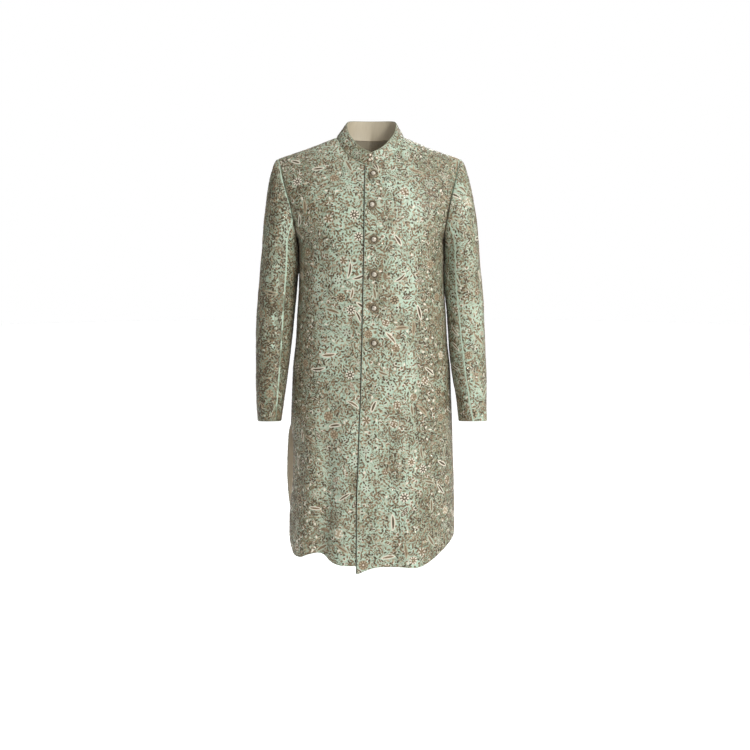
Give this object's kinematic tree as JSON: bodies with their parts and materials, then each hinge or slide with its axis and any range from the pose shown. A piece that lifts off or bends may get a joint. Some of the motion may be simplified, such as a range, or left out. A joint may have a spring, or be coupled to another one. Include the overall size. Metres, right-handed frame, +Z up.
{
  "type": "sherwani coat",
  "caption": "Knee-length sherwani coat with a stand collar, lapped buttoned front, side vents and set-in sleeves, in the hollow form it takes when worn.",
  "frame": {"origin": "midway between the two side-neck points, where the shoulder seams meet the collar: the height at which the wearer's shoulders and neck hold the coat", "axes": "+Z up, -Y out of the front of the coat, +X towards the wearer's left"},
  "size_m": [0.601, 0.3052, 1.155],
  "materials": {
    "coat_cloth": "pale sage silk covered in brown and cream thread embroidery",
    "collar_cloth": "the same embroidered silk over a stiffener",
    "button_metal": "antiqued rim around a pearl dome"
  },
  "bodies": {
    "root": {"front_left": "coat_cloth", "front_right": "coat_cloth", "back": "coat_cloth", "sleeve_left_upper": "coat_cloth", "sleeve_left_under": "coat_cloth", "sleeve_right_upper": "coat_cloth", "sleeve_right_under": "coat_cloth", "collar": "collar_cloth", "button_1": "button_metal", "button_2": "button_metal", "button_3": "button_metal", "button_4": "button_metal", "button_5": "button_metal", "button_6": "button_metal"}
  },
  "joints": []
}
